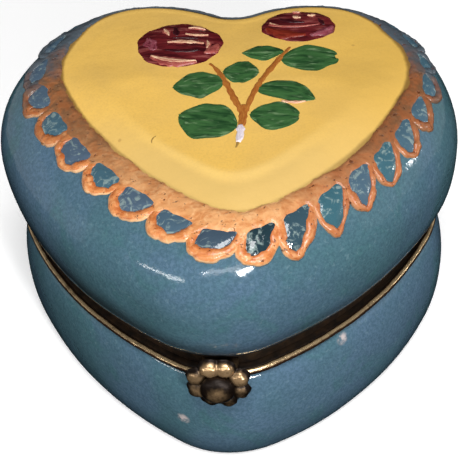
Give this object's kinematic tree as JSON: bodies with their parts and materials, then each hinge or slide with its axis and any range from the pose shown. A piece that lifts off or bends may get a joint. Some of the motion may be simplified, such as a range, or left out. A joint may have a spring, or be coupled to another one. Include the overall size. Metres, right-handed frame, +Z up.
{
  "type": "porcelain trinket box",
  "caption": "Heart-shaped porcelain trinket box with brass collars, a lid hinged at the notch and a rosette clasp at the tip.",
  "frame": {"origin": "under the middle of the box, on the surface that it stands on", "axes": "+Z up, -Y from the hinge at the notch towards the clasp at the tip of the heart, +X to the right seen from the clasp"},
  "size_m": [0.062, 0.0569, 0.0397],
  "materials": {
    "base_glaze": "mottled slate blue glaze, glossy; white inside",
    "lid_glaze": "mottled slate blue glaze with a painted ochre heart and peach lacework, glossy; white inside",
    "brass": "aged, brown patina",
    "bright_brass": "rubbed bright",
    "antique_bronze": "cast, dark in the recesses and rubbed bright on the petals",
    "pin_steel": "dull"
  },
  "bodies": {
    "base": {"base_shell": "base_glaze", "base_collar": "brass", "base_rim_wire": "bright_brass", "base_hinge_leaf": "brass", "knuckle_left": "brass", "knuckle_right": "brass", "hinge_pin": "pin_steel", "catch_nub": "brass"},
    "lid": {"lid_shell": "lid_glaze", "lid_collar": "brass", "lid_hinge_leaf": "brass", "knuckle_middle": "brass", "clasp_tongue": "brass", "clasp_flower": "antique_bronze", "clasp_bead": "antique_bronze"}
  },
  "joints": [
    {"name": "lid_hinge", "type": "hinge", "parent": "base", "child": "lid", "pos_m": [0, 0.0272, 0.01745], "axis": [-1, 0, 0], "range_deg": [0, 95]}
  ]
}
